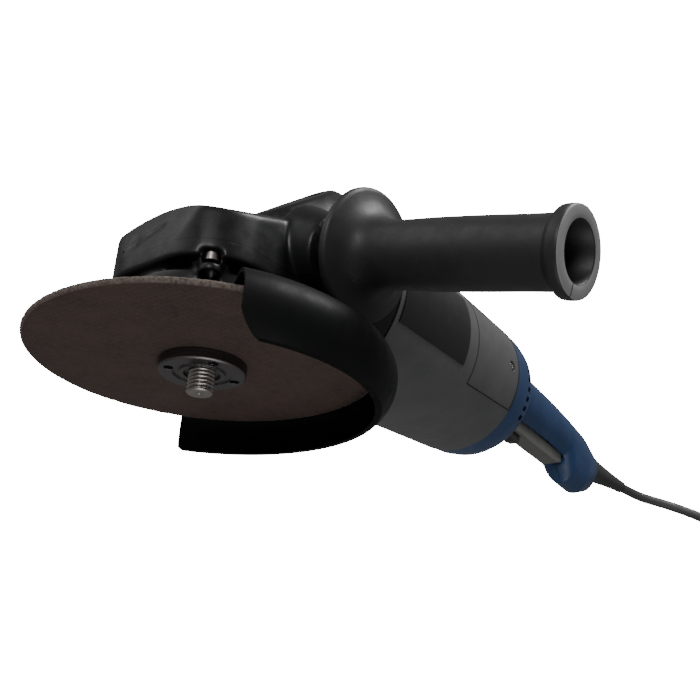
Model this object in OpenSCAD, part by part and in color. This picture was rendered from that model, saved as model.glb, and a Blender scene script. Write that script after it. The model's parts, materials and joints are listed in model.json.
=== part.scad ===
// Large two-hand angle grinder: 180 mm disc, M14 spindle, side handle, trigger handle and mains cord.
// Frame: origin on the spindle axis, halfway along the free thread. +Z is up, the disc faces down,
// +X runs along the motor to the rear handle, and the side handle is on the -Y side.

/* [Disc and guard] */
// Radius of the grinding disc
disc_r = 90; // [75:1:115]
// Thickness of the grinding disc
disc_t = 3; // [2:0.5:6]
// Radius of the disc's centre hole
disc_bore_r = 11.1; // [10:0.1:12]
// Outer radius of the guard wall where it bulges most
guard_r = 99.5; // [97:0.5:125]
// Thickness of the guard's steel
guard_t = 2; // [1.5:0.5:3]
// Angle that the guard wraps round the disc
guard_wrap = 178; // [150:1:200]
// Direction in which the guard's middle faces, from +X towards -Y
guard_turn = 35.5; // [0:0.5:90]

/* [Spindle] */
// Radius of the M14 spindle thread
thread_r = 7; // [6:0.5:8]
// Radius of the locking nut
nut_r = 22.5; // [20:0.5:24]
// Pin circle diameter of the locking nut
nut_pcd = 35; // [30:1:35]

/* [Gear head] */
// Half the width of the gear head
head_a = 46; // [44:1:55]
// Corner radius of the gear head seen from above
head_corner = 31; // [25:1:40]
// Teeth of the crown gear on the spindle
crown_teeth = 42; // [36:1:48]
// Teeth of the pinion on the motor shaft
pinion_teeth = 14; // [12:1:15]
// Height of the motor axis over the origin
motor_z = 88; // [88:1:96]

/* [Motor] */
// Outer radius of the motor housing at its front
motor_front_r = 58; // [56:1:64]
// Outer radius of the motor housing at its rear
motor_rear_r = 52; // [50:1:58]
// Place of the joint between gear head and motor housing
motor_x0 = 93; // [90:1:96]
// Place of the joint between motor housing and rear handle
motor_x1 = 250.5; // [250:0.5:256]

/* [Side handle] */
// Place of the side handle's axis along the motor
side_x = 29; // [25:1:32]
// Angle by which the side handle leans towards the disc
side_lean = 15.4; // [0:0.1:20]
// Distance from the motor axis to the handle's guard rim
side_rim_at = 82; // [78:1:90]
// Distance from the motor axis to the handle's free end
side_end_at = 199; // [180:1:210]
// Radius of the handle's guard rim
side_rim_r = 34.5; // [30:0.5:38]
// Radius of the hollow in the handle's free end
side_bore_r = 13.8; // [10:0.1:15]

/* [Rear handle] */
// Half the width of the rear handle's grip
grip_a = 19; // [17:1:24]
// Width of the trigger
trigger_w = 14; // [12:1:18]

/* [Mains cord] */
// Diameter of the cord
cord_d = 9; // [7:0.5:10]
// Mean radius of the coil of cord
coil_mean_r = 54; // [48:1:54]
// Number of turns in each of the coil's two layers
coil_turns = 3.25; // [3:0.25:4]

/* [Hidden] */
$fn = 96;
gap = 0.1;
run = 0.05;
floor_z = -8.5;

// Heights along the spindle
tip_z = -4.5;
nut_z = 6;
disc_z = 12;
shoulder_z = 22;
neck_top_z = 34;
plate_top_z = 43;
skirt_z = 47;
bearing_top_z = 59;
crown_z = 62;
crown_top_z = 76;
spindle_top_z = 84;
neck_r = 30;
guard_mid_z = 8;
flange_r = 22.5;
thread_core_r = 6.6;
shaft_r = 8.5;
bearing_r = 20;
spigot_r = 35;

// Bevel gears: the two pitch cones share their apex where the axes cross
crown_r = 30;
gear_face = 9;
pinion_r = crown_r * pinion_teeth / crown_teeth;
pitch_slope = pinion_r / crown_r;
cone_angle = atan(pitch_slope);
tooth_up = 1;
tooth_down = 1.35;
slot_w = 2.1;
tooth_w = 1.5;

// Corner screws of the gear head
screw_at = 32.2;
ear_r = 6;
ear_bore_r = 4.5;
ear_top_z = 53;
roof_r = 92;
roof_rise = 21;
slant_r = 250;
slant_rise = 40;

// Stations along the motor
bulkhead_x = 56;
fan_x = 68;
fan_l = 14;
core_x = 110;
core_l = 60;
core_r = 27.5;
comm_x = 196;
comm_l = 26;
comm_r = 17;
brush_x = 209;
rear_seat_x = 235;
stator_r = 46;
cover_x = 187;
cover_half = 34;
plate_x = 97;
plate_l = 77;
plate_half = 25;

// Rear handle stations: place, height, half width and half height
grip_back_x = 490;
collar_x1 = 284;
handle_top = [[collar_x1 + 0.1, 108.5, 23, 24.5], [310, 107.5, 20.5, 23.5], [391, 99.5, grip_a, 21.5],
    [418, 95, grip_a, 21]];
handle_end = [[430, 84, 17, 28.5], [456, 82, 17.5, 29.5], [477, 81, 14, 22], [grip_back_x, 84, 11, 12.5]];
handle_posts = [[318, 118, 13.5], [400, 109, 12], [444, 68, 12], [467.5, 97, 8.8]];
trigger_pivot = [306, 0, 88];
catch_pivot = [328, 0, 76];

// Cord: points of the free stretch, from the strain relief's tip to the coil
relief_from = [grip_back_x + 0.5, 0, 84.5];
relief_seat_x = grip_back_x - 19;
relief_tip = [544, -10.5, 78.7];
cord_route = [[544, -10.5, 78.7], [550, -12, 78], [562, -15, 76.5], [574, -21, 74], [584, -31, 71],
    [592, -43, 67], [597, -56, 61.5], [600, -71, 54], [601, -87, 45], [601, -103, 35], [599, -119, 25],
    [596, -135, 15.5], [592, -151, 7.5], [587, -167, 1.5], [581, -183, -2.5], [576, -194, -4],
    [572, -204, -4]];
coil_at = [508.5, -178.5];
layer_step = 9;
tail_route = [[508.5, -244.2, 5], [496, -244.6, 5], [484, -245, 4.6], [470, -245.2, 2.6],
    [456, -245.2, -0.6], [442, -245.2, -3.2], [428, -245.1, -4], [414, -245, -3.2], [402, -245, -0.2],
    [392, -245, 2.8], [382, -245, 4.3], [372.1, -245, 4.5]];
plug_at = [372, -245, 4.5];

function unit(v) = v / norm(v);
// Direction of the route at point i, from its neighbours
function heading(p, i) = unit(p[min(i + 1, len(p) - 1)] - p[max(i - 1, 0)]);
// One ring of a swept tube round point i, square to the route
function ring_at(p, i, r, n) =
    let (t = heading(p, i), a = unit(cross(t, [0, 0, 1])), b = cross(a, t))
    [for (k = [0 : n - 1]) p[i] + r * (cos(360 * k / n) * a + sin(360 * k / n) * b)];

// A tube of radius r swept along the route's own points
module sweep(p, r, n = 10) {
    last = (len(p) - 1) * n;
    sides = [for (i = [0 : len(p) - 2]) for (k = [0 : n - 1])
        [i * n + k, i * n + (k + 1) % n, (i + 1) * n + (k + 1) % n, (i + 1) * n + k]];
    ends = [[for (k = [n - 1 : -1 : 0]) k], [for (k = [0 : n - 1]) last + k]];
    polyhedron([for (i = [0 : len(p) - 1]) each ring_at(p, i, r, n)], concat(sides, ends));
}

// Turns its children so that their z axis runs along the motor, from place x
module along_motor(x = 0) {
    translate([x, 0, motor_z]) rotate([0, 90, 0]) children();
}

// A body of revolution round the motor axis, from [radius, place] points
module motor_turned(points) {
    along_motor() rotate_extrude() polygon(points);
}

// A sector of such a body, half degrees to each side of the -Y direction
module motor_sector(points, half) {
    along_motor() rotate([0, 0, -90 - half]) rotate_extrude(angle = 2 * half) polygon(points);
}

// Turns its children so that their z axis runs out along the side handle, side 1 for -Y, -1 for +Y
module along_side(side = 1, at = 0) {
    translate([side_x, 0, motor_z]) rotate([90 + side_lean, 0, 0] * side) translate([0, 0, at]) children();
}

module tube(ro, ri, h) {
    difference() {
        cylinder(r = ro, h = h);
        translate([0, 0, -1]) cylinder(r = ri, h = h + 2);
    }
}

// Pan head and shank of a screw, its head's top at the origin, pointing to -z
module screw(head_r, head_h, shank_r, length) {
    difference() {
        union() {
            translate([0, 0, -head_h]) cylinder(r = head_r, h = head_h, $fn = 32);
            translate([0, 0, -length]) cylinder(r = shank_r, h = length, $fn = 24);
        }
        for (a = [0, 90]) rotate([0, 0, a]) cube([head_r, 0.9, 2.2], center = true);
    }
}

// Rounded square of the gear head seen from above
module head_plan(a) {
    inner = a - head_corner;
    square([2 * a, 2 * inner], center = true);
    square([2 * inner, 2 * a], center = true);
    for (sx = [-1, 1]) for (sy = [-1, 1]) translate([sx * inner, sy * inner]) circle(r = head_corner);
}

module at_corners() {
    for (sx = [-1, 1]) for (sy = [-1, 1]) translate([sx * screw_at, sy * screw_at, 0]) children();
}

// Windows that open each corner's screw seat outwards, up to height top
module corner_windows(w, top) {
    for (a = [45, 135, 225, 315]) rotate([0, 0, a]) translate([screw_at * sqrt(2), -w / 2, 45])
        cube([12, w, top - 45]);
}

// The gear head's crowned roof, which rises to the rear
module head_roof() {
    crown([-42, 0, 80], roof_r, roof_rise);
}

// The slope by which the shoulder's top stands back behind the gear head
module shoulder_slant() {
    crown([30, 0, 119.5], slant_r, slant_rise);
}

// A long cylinder of radius r whose top passes through a place and rises to the rear
module crown(place, r, rise) {
    translate(place - [0, 0, r / cos(rise)]) rotate([0, 90 - rise, 0])
        cylinder(r = r, h = 900, center = true);
}

// The gear head's nose, which leans back a little
module head_nose() {
    rotate([90, 0, 0]) linear_extrude(height = 3 * head_a, center = true)
        polygon([[-head_a - 1, skirt_z], [-head_a, 56], [-41, 82], [-38, 86], [0, 102], [60, 102],
            [60, skirt_z]]);
}

module gear_case_solid() {
    intersection() {
        translate([0, 0, skirt_z]) linear_extrude(height = 60) {
            head_plan(head_a);
            translate([0, -head_a]) square([55, 2 * head_a]);
        }
        head_roof();
        head_nose();
    }
    intersection() {
        motor_turned([[0, 2], [24, 2], [31, 6], [38.7, 15], [45.7, 26], [50.5, 34], [54.5, 42], [57, 48],
            [motor_front_r, 55], [motor_front_r, motor_x0], [0, motor_x0]]);
        shoulder_slant();
    }
    for (side = [-1, 1]) along_side(side, 30) cylinder(r1 = 21, r2 = 16, h = 32);
    along_side(1, 40) cylinder(r1 = 28, r2 = 21, h = 22);
}

module gear_housing() {
    color([0.07, 0.07, 0.08]) difference() {
        gear_case_solid();
        // Gear chamber, open below for the bearing flange
        rotate_extrude() polygon([[0, 0], [head_a + 1.5, 0], [head_a + 1.5, skirt_z],
            [spigot_r + run, skirt_z], [spigot_r + run, 68], [32.2, 72], [32.2, 79.3], [20, 83], [13, 83],
            [13, 76.6], [0, 76.6]]);
        along_motor(14) cylinder(r = 13, h = 30);
        // Seats of the motor's front bearing and of the needle bearing
        along_motor(40) cylinder(r = 17.5, h = bulkhead_x - 40 + 1);
        translate([0, 0, 70]) cylinder(r = 8, h = spindle_top_z + 0.5 - 70);
        // Fan chamber
        motor_turned([[0, bulkhead_x], [9, bulkhead_x], [46, bulkhead_x + 4], [53, 70], [53, motor_x0 + 1],
            [0, motor_x0 + 1]]);
        // Parting line
        translate([0, 0, 55.7]) linear_extrude(height = 0.6) difference() {
            square([100, 100], center = true);
            head_plan(head_a - 0.4);
            translate([8, -50]) square([60, 100]);
        }
        // Corner pockets and screw holes
        at_corners() {
            translate([0, 0, plate_top_z - 5])
                cylinder(r = ear_r + gap, h = ear_top_z + gap - plate_top_z + 5);
            cylinder(r = 2.5, h = 66, $fn = 32);
        }
        corner_windows(10.4, 50.6);
        // Side handle holes: the left one takes the stud, the right one is free
        along_side(1, 38) cylinder(r = thread_r, h = 40);
        along_side(-1, 40) cylinder(r = 6, h = 40);
        // Spindle lock passage
        translate([0, 30, 70]) rotate([-90, 0, 0]) cylinder(r = 3.05, h = 30);
        translate([0, 37.5, 70]) rotate([-90, 0, 0]) cylinder(r = 6.05, h = 20);
        // Air outlets round the shoulder
        for (a = [118, 152, 208, 242])
            along_motor() rotate([0, 0, a - 11]) rotate_extrude(angle = 22)
                polygon([[46.5, 30], [50.5, 36], [50.5, 66], [43, 66], [46.5, 44]]);
        // Recessed direction arrow on the nose
        translate([-head_a, 6, 67]) rotate([0, 10, 0]) rotate([-15, 0, 0]) direction_arrow();
        for (a = [45, 135, 225, 315]) along_motor(60) rotate([0, 0, a]) translate([55.6, 0, 0])
            cylinder(r = 1.6, h = 40, $fn = 24);
    }
}

// Plain arrow that shows which way the disc turns
module direction_arrow() {
    rotate([90, 0, 90]) linear_extrude(height = 3)
        polygon([[13, 0], [5, 5], [5, 1.5], [-13, 1.5], [-13, -1.5], [5, -1.5], [5, -5]]);
}

module bearing_flange() {
    color([0.09, 0.09, 0.1]) difference() {
        union() {
            rotate_extrude() polygon([[10.5, shoulder_z + 1], [neck_r - run, shoulder_z + 1],
                [neck_r - run, neck_top_z], [head_a, neck_top_z], [head_a, plate_top_z],
                [42, plate_top_z], [42, skirt_z - gap], [spigot_r, skirt_z - gap],
                [spigot_r, bearing_top_z], [10.5, bearing_top_z]]);
            at_corners() translate([0, 0, plate_top_z - 4])
                cylinder(r = ear_r, h = ear_top_z - plate_top_z + 4);
            // Webs that carry the corner ears
            intersection() {
                translate([0, 0, plate_top_z - 1])
                    tube(screw_at * sqrt(2), 36, skirt_z - gap - plate_top_z + 1);
                at_corners() cylinder(r = 9, h = 100);
            }
        }
        translate([0, 0, skirt_z]) cylinder(r = bearing_r, h = 20);
        translate([0, 0, 41]) cylinder(r = 15, h = 10);
        at_corners() {
            cylinder(r = ear_bore_r, h = 50.5, $fn = 48);
            cylinder(r = 2.6, h = 60, $fn = 32);
        }
        corner_windows(9, 50.5);
        // Air gap below the skirt
        for (a = [0 : 45 : 359]) rotate([0, 0, a + 22.5]) translate([39, -7, plate_top_z])
            cube([6, 14, 2.6]);
    }
}

module flange_screws() {
    color("silver") at_corners() translate([0, 0, 46.4]) rotate([180, 0, 0]) screw(4.2, 4, 2.5, 19);
}

module felt_seal() {
    color("dimgray") translate([0, 0, 41.2]) tube(14.8, shaft_r + 0.3, 5.2);
}

// Shielded ball bearing with its axis on z
module ball_bearing(ro, ri, h) {
    rotate_extrude() polygon([[ri, 0], [ri + 2, 0], [ri + 2, 0.4], [ro - 2, 0.4], [ro - 2, 0], [ro, 0],
        [ro, h], [ro - 2, h], [ro - 2, h - 0.4], [ri + 2, h - 0.4], [ri + 2, h], [ri, h]]);
}

module spindle_bearing() {
    color("silver") translate([0, 0, skirt_z])
        ball_bearing(bearing_r, shaft_r + run, bearing_top_z - skirt_z);
}

module needle_bearing() {
    color("silver") translate([0, 0, crown_top_z + 0.5]) tube(8, 5 + run, spindle_top_z - crown_top_z - 0.4);
}

module case_screws() {
    color("silver") for (a = [45, 135, 225, 315]) along_motor(84) rotate([0, 0, a]) translate([55.6, 0, 0])
        cylinder(r = 1.5, h = 22, $fn = 24);
}

module spindle_lock_button() {
    color([0.2, 0.2, 0.21]) translate([0, 0, 70]) rotate([-90, 0, 0]) {
        translate([0, 0, 32.6]) cylinder(r = 3, h = 14);
        translate([0, 0, 44.5]) cylinder(r = 6, h = 7);
        translate([0, 0, 51.4]) cylinder(r1 = 8.5, r2 = 7.5, h = 4.6);
    }
}

module spindle_lock_spring() {
    color("silver") translate([0, 37.6, 70]) rotate([-90, 0, 0]) tube(5.2, 4.2, 6.8);
}

module spindle() {
    color([0.72, 0.68, 0.66]) difference() {
        rotate_extrude() polygon([[0, tip_z], [5.8, tip_z], [thread_r, tip_z + 1.2],
            [thread_r, nut_z], [thread_core_r, nut_z], [thread_core_r, shoulder_z],
            [shaft_r, shoulder_z], [shaft_r, crown_z - 1.5],
            [9.5, crown_z - 1.5], [9.5, crown_z], [9, crown_z], [9, crown_top_z],
            [5, crown_top_z], [5, spindle_top_z], [0, spindle_top_z]]);
        // Centre drilling, and the slot for the key
        translate([0, 0, tip_z]) cylinder(r1 = 1.6, r2 = 0.4, h = 1.4, $fn = 24);
        translate([7, -2, crown_z + 2]) cube([3, 4, 9]);
    }
}

// One slot cutter or tooth lies along the pitch cone, its width given at the pitch line
module tooth_bar(w, up, down, flank_up, flank_down, length) {
    rotate([90, 0, 90]) linear_extrude(height = length)
        polygon([[-w / 2 - down * flank_down, -down], [w / 2 + down * flank_down, -down],
            [w / 2, 0], [w / 2 + up * flank_up, up], [-w / 2 - up * flank_up, up], [-w / 2, 0]]);
}

module crown_gear() {
    color("dimgray") difference() {
        rotate_extrude() polygon([[9.05, crown_z], [20, crown_z], [29.5, 66.5], [30.7, 70],
            [30.7, motor_z - 30.7 * pitch_slope + tooth_up],
            [crown_r - gear_face, motor_z - (crown_r - gear_face) * pitch_slope + tooth_up],
            [crown_r - gear_face - 1, crown_top_z - 1], [9.05, crown_top_z - 1]]);
        for (i = [0 : crown_teeth - 1]) rotate([0, 0, 360 * i / crown_teeth])
            translate([0, 0, motor_z]) rotate([0, cone_angle, 0]) translate([16, 0, 0])
                tooth_bar(slot_w, 2, tooth_down, 0.364, -0.364, 20);
        translate([6, -2.1, crown_z + 1]) cube([5.2, 4.2, 13]);
        // Holes that the spindle lock drops into
        for (a = [0, 90, 180, 270]) rotate([0, 0, a]) translate([23, 0, 70]) rotate([0, 90, 0])
            cylinder(r = 3.3, h = 12, $fn = 48);
    }
}

module crown_key() {
    color("gray") translate([7, -1.95, crown_z + 2.05]) cube([4, 3.9, 8.9]);
}

module inner_flange() {
    color([0.3, 0.3, 0.32]) rotate_extrude() polygon([[thread_core_r + run, disc_z + 0.6],
        [disc_bore_r - gap, disc_z + 0.6], [disc_bore_r - gap, disc_z + disc_t],
        [16, disc_z + disc_t + 0.3], [16.5, disc_z + disc_t],
        [flange_r, disc_z + disc_t], [flange_r, disc_z + disc_t + 3], [15, shoulder_z - 0.05],
        [thread_core_r + run, shoulder_z - 0.05]]);
}

module grinding_disc() {
    color([0.2, 0.14, 0.12]) translate([0, 0, disc_z]) tube(disc_r, disc_bore_r, disc_t);
}

module locking_nut() {
    color([0.16, 0.16, 0.17]) difference() {
        rotate_extrude() polygon([[thread_core_r + run, nut_z + 1.5], [9.5, nut_z + 1.5], [9.5, nut_z],
            [12, nut_z], [12, nut_z + 0.8], [15, nut_z + 0.8], [15, nut_z], [nut_r - 0.8, nut_z],
            [nut_r, nut_z + 0.8], [nut_r, disc_z], [16.5, disc_z], [16, disc_z - 0.3],
            [11, disc_z - 0.3], [10.9, disc_z + 0.5], [thread_core_r + run, disc_z + 0.5]]);
        for (a = [0, 90, 180, 270]) rotate([0, 0, a - 26]) translate([nut_pcd / 2, 0, nut_z - 1])
            cylinder(r = 2.6, h = 5.5, $fn = 48);
    }
}

// Sector of a turned ring round the spindle, centred on where the guard faces
module guard_sector(points, wrap) {
    rotate([0, 0, -guard_turn - wrap / 2]) rotate_extrude(angle = wrap) polygon(points);
}

// The guard wall's curve, inset by d: a quarter ellipse from the flat top, then a steeper one to the rim
function guard_curve(d) = [for (t = [90 : -10 : guard_rim_angle(d)])
    [80 + (guard_r - 80 - d) * cos(t), guard_mid_z + ((t > 0 ? 18 : 21) - d) * sin(t)]];
function guard_rim_angle(d) = -asin((guard_mid_z - floor_z) / (21 - d));

// Rounds the lower corner of the wall's end at angle a, on the side given by s
module guard_corner(a, s, r) {
    rotate([0, 0, a]) translate([70, 0, floor_z]) rotate([90, 0, 90]) linear_extrude(height = 40)
        difference() {
            translate([s > 0 ? -1 : 1 - r, -1]) square([r, r]);
            translate([s * (r - 1), r - 1]) circle(r = r);
        }
}

module disc_guard() {
    outer = guard_curve(0);
    inner = guard_curve(guard_t);
    top = guard_mid_z + 18;
    color([0.05, 0.05, 0.055]) difference() {
        guard_sector(concat([[neck_r + 3.1, top - guard_t], [neck_r + 3.1, top]], outer,
            [[80 + (guard_r - 80) * cos(guard_rim_angle(0)), floor_z],
            [80 + (guard_r - 80 - guard_t) * cos(guard_rim_angle(guard_t)), floor_z]],
            [for (i = [len(inner) - 1 : -1 : 0]) inner[i]]), guard_wrap);
        guard_corner(-guard_turn - guard_wrap / 2, 1, 17);
        guard_corner(-guard_turn + guard_wrap / 2, -1, 8);
    }
}

module guard_band() {
    color([0.12, 0.12, 0.13]) rotate([0, 0, 180 - guard_turn]) {
        rotate([0, 0, 5.5]) rotate_extrude(angle = 349)
            polygon([[neck_r, 22], [neck_r + 3, 22], [neck_r + 3, 31], [neck_r, 31]]);
        for (s = [0, 1]) mirror([0, s, 0]) difference() {
            translate([neck_r + 0.9, 1.75, 22.4]) cube([13.1, 2.5, 8.2]);
            translate([neck_r + 9.5, 0, 26.5]) rotate([90, 0, 0]) cylinder(r = 2.6, h = 30, center = true);
        }
    }
}

// Place of the clamp bolt that closes the guard's band
module band_bolt() {
    rotate([0, 0, 180 - guard_turn]) translate([neck_r + 9.5, 0, 26.5]) rotate([90, 0, 0]) children();
}

module guard_screw() {
    color("silver") band_bolt() translate([0, 0, 8.4]) screw(4.4, 4, 2.5, 18);
}

module guard_nut() {
    color("silver") band_bolt() translate([0, 0, -8]) tube(4.3, 2.55, 3.7);
}

module side_handle_grip() {
    rim = side_rim_at;
    end = side_end_at;
    color([0.2, 0.2, 0.21]) along_side() difference() {
        rotate_extrude() polygon([[0, 64], [15, 64], [17, 67], [24, 74], [31, 78.5], [side_rim_r - 1, 79],
            [side_rim_r, 80], [side_rim_r, rim + 1.6], [side_rim_r - 1.5, rim + 2.6],
            [31, rim + 2.2], [25, rim + 4.5], [20.5, rim + 9], [18.2, rim + 14], [17.2, rim + 20],
            [17.8, rim + 45], [17.6, rim + 70], [17.1, rim + 98], [17.2, end - 9], [18.6, end - 7.4],
            [20.4, end - 6], [20.8, end - 4.5], [20.8, end - 1.2], [19.8, end], [0, end]]);
        translate([0, 0, end - 78]) cylinder(r = side_bore_r, h = 90);
        translate([0, 0, 60]) cylinder(r = thread_r, h = 40);
    }
}

module side_handle_stud() {
    color("silver") along_side(1, 38.2) union() {
        cylinder(r = thread_r - 0.02, h = 61);
        translate([0, 0, 62.2 - 38.2]) cylinder(r = 12, h = 1.7);
    }
}

// Outline of the motor housing's wall, as [radius, place]
function housing_outer(d) = [[motor_front_r - d, motor_x0 + gap], [56.6 - d, 140], [54.6 - d, 195],
    [motor_rear_r - d, motor_x1 - gap]];

module motor_housing() {
    inner = housing_outer(3.2);
    color([0.3, 0.3, 0.31]) difference() {
        union() {
            difference() {
                motor_turned(concat(housing_outer(0), [[0, motor_x1 - gap], [0, motor_x0 + gap]]));
                motor_turned([[inner[0][0], motor_x0], inner[1], inner[2],
                    [inner[3][0], motor_x1], [0, motor_x1], [0, motor_x0]]);
            }
            // Ribs that hold the stator
            for (a = [45 : 90 : 315]) along_motor(core_x - 2) rotate([0, 0, a]) translate([stator_r, -4, 0])
                cube([8.9, 8, core_l + 6]);
            // Spider that holds the rear bearing
            along_motor(rear_seat_x) tube(21, 17, 11);
            for (a = [0 : 90 : 270]) along_motor(rear_seat_x) rotate([0, 0, a]) translate([20, -4, 0])
                cube([30.6, 8, 8]);
            // Bosses for the case screws
            for (a = [45 : 90 : 315]) along_motor(motor_x0 + gap) rotate([0, 0, a]) translate([53.2, 0, 0])
                cylinder(r = 4, h = 16, $fn = 32);
        }
        for (a = [45 : 90 : 315]) along_motor(motor_x0) rotate([0, 0, a]) translate([55.6, 0, 0])
            cylinder(r = 1.55, h = 14, $fn = 24);
        // Openings under the brush covers
        for (m = [0, 1]) mirror([0, m, 0]) {
            motor_sector([[45, cover_x], [60, cover_x], [60, motor_x1 + 1], [45, motor_x1 + 1]], cover_half);
        }
    }
}

module fan_baffle() {
    color("black")
        motor_turned([[36, 89], [52.9, 89], [52.9, motor_x0], [50, motor_x0], [50, 91], [38, 91]]);
}

module stator_core() {
    color("gray") along_motor(core_x) difference() {
        cylinder(r = stator_r - gap, h = core_l);
        translate([0, 0, -1]) cylinder(r = core_r + 0.6, h = core_l + 2);
        for (s = [-1, 1]) translate([s * 33, 0, core_l / 2]) cube([14, 48, core_l + 2], center = true);
    }
}

module stator_coils() {
    color([0.6, 0.3, 0.15]) along_motor(core_x - 12) for (s = [-1, 1]) translate([s * 33, 0, 0])
        difference() {
            translate([-3.5, -23.5, 0]) cube([7, 47, core_l + 24]);
            translate([-5, -15, 12 + gap]) cube([10, 30, core_l - 2 * gap]);
        }
}

module front_bearing() {
    color("silver") along_motor(44) ball_bearing(17.45, 7.5 + run, 11);
}

module rear_bearing() {
    color("silver") along_motor(rear_seat_x + 1) ball_bearing(15, 5 + run, 9);
}

module rear_bearing_sleeve() {
    color("black") along_motor(rear_seat_x + 0.5) tube(16.95, 15.05, 10);
}

// Places its children at both brushes, their z axis pointing away from the commutator
module at_brushes() {
    for (s = [-1, 1]) translate([brush_x, 0, motor_z]) rotate([-90 * s, 0, 0]) children();
}

module brush_holders() {
    color("goldenrod") at_brushes() difference() {
        translate([-6.5, -4.5, comm_r + 1.5]) cube([13, 9, 24.5]);
        translate([-5.1, -3.1, comm_r]) cube([10.2, 6.2, 24.6]);
    }
}

module carbon_brushes() {
    color([0.15, 0.15, 0.15]) at_brushes() translate([-5, -3, comm_r + 0.1]) cube([10, 6, 16]);
}

module brush_springs() {
    color("silver") at_brushes() translate([0, 0, comm_r + 16.2]) cylinder(r = 2.6, h = 8.2, $fn = 24);
}

// Curved cover over the brush opening on the -Y side
module brush_cover() {
    r0 = housing_outer(0.1)[2][0];
    r1 = housing_outer(0.1)[3][0];
    difference() {
        motor_sector([[49, cover_x + 0.4], [r0 + 0.3, cover_x + 0.4], [r0, 195], [r1, motor_x1 - 0.4],
            [48, motor_x1 - 0.4], [51.5, 195]], cover_half - 0.4);
        cover_screw_place() {
            translate([0, 0, -2.2]) cylinder(r = 3.8, h = 8, $fn = 32);
            translate([0, 0, -10]) cylinder(r = 1.6, h = 12, $fn = 24);
        }
    }
}

// Place of the cover's screw, its z axis pointing out of the housing
module cover_screw_place() {
    translate([239, -52.4, motor_z - 1]) rotate([90, 0, 0]) children();
}

module brush_cover_left() {
    color([0.31, 0.31, 0.32]) brush_cover();
}

module brush_cover_right() {
    color([0.31, 0.31, 0.32]) mirror([0, 1, 0]) brush_cover();
}

module brush_cover_screws() {
    color("silver") for (m = [0, 1]) mirror([0, m, 0]) cover_screw_place() translate([0, 0, -0.7])
        screw(2.5, 1.5, 1.5, 6);
}

// Blank plate on the side of the motor housing
module side_plate() {
    x1 = plate_x + plate_l;
    color([0.06, 0.06, 0.07]) motor_sector([[58.05, plate_x], [58.7, plate_x], [57.4, 140], [56.1, x1],
        [55.42, x1], [56.7, 140]], plate_half);
}

module side_plate_left() {
    side_plate();
}

module side_plate_right() {
    mirror([0, 1, 0]) side_plate();
}

module armature_shaft() {
    color("silver") motor_turned([[0, 17], [3.5, 17], [3.5, 42], [7.5, 42], [7.5, 56], [8, 56], [8, 230],
        [5, 230], [5, 247], [0, 247]]);
}

module drive_pinion() {
    root = 1.25;
    x0 = crown_r - gear_face - 0.4;
    color("dimgray") difference() {
        union() {
            motor_turned([[0, x0], [x0 * pitch_slope - root, x0],
                [crown_r * pitch_slope - root + 0.4, crown_r + 1], [8.5, crown_r + 2], [8.5, 40.5],
                [0, 40.5]]);
            intersection() {
                for (i = [0 : pinion_teeth - 1]) translate([0, 0, motor_z])
                    rotate([360 * (i + 0.5) / pinion_teeth, 0, 0]) rotate([0, 180, 180])
                        rotate([0, 180 + cone_angle, 0]) translate([20, 0, 0])
                            tooth_bar(tooth_w, tooth_up, tooth_down, -0.55, 0.364, 16);
                motor_turned([[0, x0], [20, x0], [20, crown_r + 0.8], [0, crown_r + 0.8]]);
            }
        }
        along_motor(10) cylinder(r = 3.55, h = 40);
    }
}

module pinion_nut() {
    color("gray") along_motor(17.4) tube(5.4, 3.55, 3.1);
}

module armature_core() {
    color("gray") along_motor(core_x) difference() {
        tube(core_r, 8.05, core_l);
        for (a = [0 : 30 : 330]) rotate([0, 0, a]) translate([22, -1.2, -1]) cube([6, 2.4, core_l + 2]);
    }
}

module armature_windings() {
    color([0.6, 0.3, 0.15]) {
        along_motor(core_x - 14) tube(23, 8.2, 13.9);
        along_motor(core_x + core_l + 0.1) tube(23, 8.2, 15);
    }
}

module commutator() {
    color([0.7, 0.45, 0.25]) along_motor(comm_x) difference() {
        tube(comm_r, 8.05, comm_l);
        for (a = [0 : 15 : 345]) rotate([0, 0, a]) translate([comm_r - 0.8, -0.3, 2]) cube([2, 0.6, comm_l]);
    }
}

module cooling_fan() {
    color([0.15, 0.15, 0.16]) along_motor(fan_x) {
        tube(14, 8.05, fan_l);
        difference() {
            translate([0, 0, fan_l - 2.5]) cylinder(r = 50, h = 2.5);
            translate([0, 0, fan_l - 4]) cylinder(r = 13, h = 6);
        }
        for (a = [0 : 24 : 336]) rotate([0, 0, a]) translate([20, -0.8, 2]) cube([29, 1.6, fan_l - 4]);
    }
}

// One cross-section of the rear handle, as [place, height, half width, half height], shrunk by d
module handle_slice(s, d = 0) {
    translate([s[0], 0, s[1]]) rotate([0, 90, 0]) scale([s[3] - d, s[2] - d, 1])
        cylinder(r = 1, h = 0.5, $fn = 32);
}

module handle_outer() {
    for (i = [0 : 2]) hull() {
        handle_slice(handle_top[i]);
        handle_slice(handle_top[i + 1]);
    }
    hull() {
        handle_slice(handle_top[3]);
        handle_slice(handle_end[0]);
        handle_slice(handle_end[1]);
    }
    hull() {
        for (i = [1 : 3]) handle_slice(handle_end[i]);
    }
}

module handle_inner() {
    hull() {
        handle_slice(handle_top[1], 3);
        handle_slice(handle_top[3], 3);
    }
    hull() {
        handle_slice(handle_top[3], 3);
        handle_slice([444, 86, 14.5, 24]);
    }
    translate([444, -12, 72]) cube([30, 24, 26]);
}

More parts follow.
